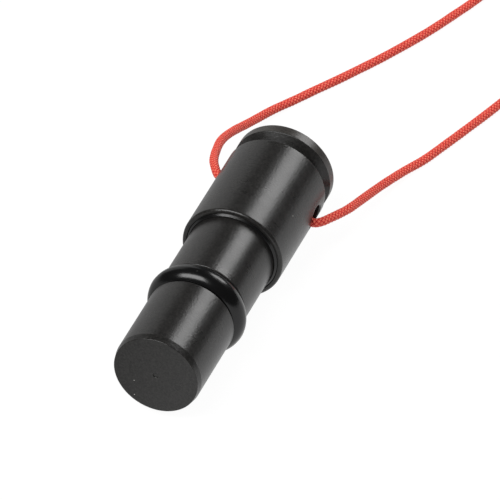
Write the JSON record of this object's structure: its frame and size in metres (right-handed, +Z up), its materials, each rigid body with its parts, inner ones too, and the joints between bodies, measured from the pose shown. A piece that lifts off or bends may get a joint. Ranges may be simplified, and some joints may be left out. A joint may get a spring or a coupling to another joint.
{
  "type": "pocket game call",
  "caption": "Turned black tubular pocket reed call with a pull-off closed cap, a sliding neck, rubber rings and a braided red neck cord.",
  "frame": {"origin": "middle of the call's footprint on the surface it lies on, without the neck cord", "axes": "+Z up; +Y along the call's axis from the cap's closed end to the sound outlet; the call lies on its side"},
  "size_m": [0.0746, 0.1767, 0.022],
  "materials": {
    "turned_plastic": "satin turned, matt on the end face",
    "ring_rubber": "smooth moulded, slightly glossy",
    "board_plastic": "machined",
    "reed_brass": "rolled strip",
    "wedge_cork": "cut cork",
    "cord_braid": "fine braid",
    "tie_plastic": "matt"
  },
  "bodies": {
    "barrel_body": {"barrel": "turned_plastic", "mouth_ring": "ring_rubber", "cord_left_leg": "cord_braid", "cord_right_leg": "cord_braid", "cord_coil": "cord_braid", "coil_tie": "tie_plastic", "cord_knot": "cord_braid"},
    "neck_body": {"neck": "turned_plastic", "front_slide_ring": "ring_rubber", "rear_slide_ring": "ring_rubber", "reed_holder": "turned_plastic", "tone_board": "board_plastic", "reed_wedge": "wedge_cork", "mouthpiece": "turned_plastic", "cap_seal_ring": "ring_rubber", "grip_ring": "ring_rubber"},
    "cap_body": {"cap": "turned_plastic"},
    "reed_body": {"reed": "reed_brass"}
  },
  "joints": [
    {"name": "neck_slide", "type": "slide", "parent": "barrel_body", "child": "neck_body", "axis": [0, -1, 0], "range_m": [-0.003, 0.005]},
    {"name": "cap_pull", "type": "slide", "parent": "neck_body", "child": "cap_body", "axis": [0, -1, 0], "range_m": [0, 0.02]},
    {"name": "reed_flex", "type": "hinge", "parent": "neck_body", "child": "reed_body", "pos_m": [0, 0.0101, 0.0111], "axis": [-1, 0, 0], "range_deg": [-2, 2], "stiffness_Nm_per_rad": 0.002}
  ]
}
